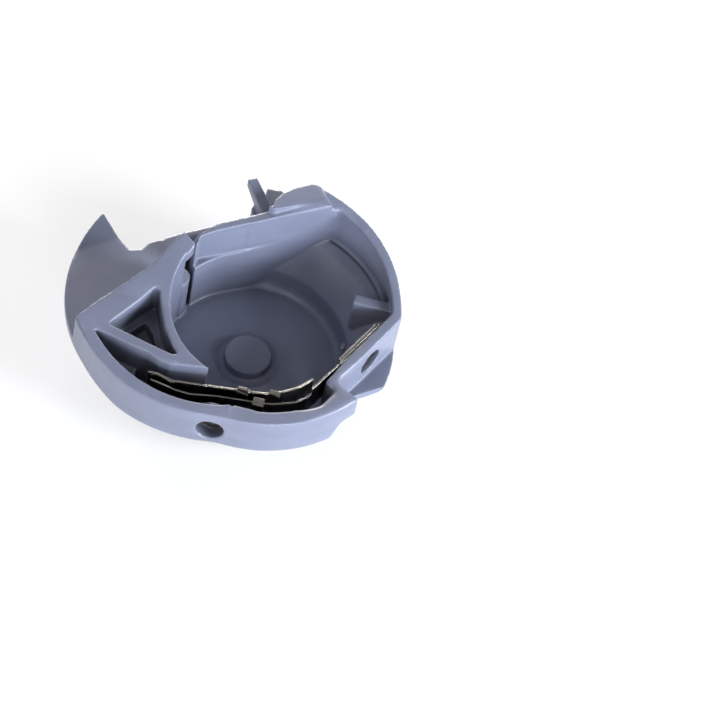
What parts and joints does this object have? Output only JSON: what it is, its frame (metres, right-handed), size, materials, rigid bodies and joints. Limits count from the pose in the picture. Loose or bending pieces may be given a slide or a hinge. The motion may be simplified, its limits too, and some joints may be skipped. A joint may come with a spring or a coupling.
{
  "type": "bobbin case",
  "caption": "Drop-in bobbin case for a horizontal rotary sewing hook: a moulded cup with a web, hook finger, leaf tension spring and adjusting screw.",
  "frame": {"origin": "on the bobbin axis, at the flat underside of the cup", "axes": "+Z along the bobbin axis, up out of the cup; the front wall with the leaf springs and the tension screw faces -Y; the hook finger and the web are at -X; the fixing screw's facet faces +X and a little -Y"},
  "size_m": [0.0402, 0.0334, 0.0155],
  "materials": {
    "case_plastic": "smooth semi-gloss moulded blue-grey engineering plastic",
    "insert_brass": "turned brass bush",
    "screw_steel": "dark oxidised screw steel",
    "plate_steel": "plain stamped steel",
    "spring_steel": "polished hardened spring steel",
    "guard_steel": "polished stainless spring strip"
  },
  "bodies": {
    "case": {"case_body": "case_plastic", "thread_insert": "insert_brass", "clamp_plate": "plate_steel", "spring_tab": "spring_steel"},
    "tension_adjuster": {"tension_screw": "screw_steel"},
    "spring_fixing": {"fixing_screw": "screw_steel"},
    "blade": {"tension_blade": "spring_steel"},
    "guard": {"guard_spring": "guard_steel"}
  },
  "joints": [
    {"name": "tension_screw_turn", "type": "hinge", "parent": "case", "child": "tension_adjuster", "pos_m": [-0.0018, -0.014, 0.0075], "axis": [0, 1, 0], "range_deg": [-360, 360]},
    {"name": "fixing_screw_turn", "type": "hinge", "parent": "case", "child": "spring_fixing", "pos_m": [0.01397, -0.00019, 0.0075], "axis": [0.8886, -0.4586, 0], "range_deg": [0, 720]},
    {"name": "tension_blade_flex", "type": "hinge", "parent": "case", "child": "blade", "pos_m": [0.01091, -0.00404, 0.0079], "axis": [0, 0, 1], "range_deg": [-2, 0], "stiffness_Nm_per_rad": 0.4},
    {"name": "guard_spring_flex", "type": "hinge", "parent": "blade", "child": "guard", "pos_m": [0.0009, -0.0109, 0.0088], "axis": [0, 0, 1], "range_deg": [-1.5, 0.5], "stiffness_Nm_per_rad": 0.2}
  ]
}
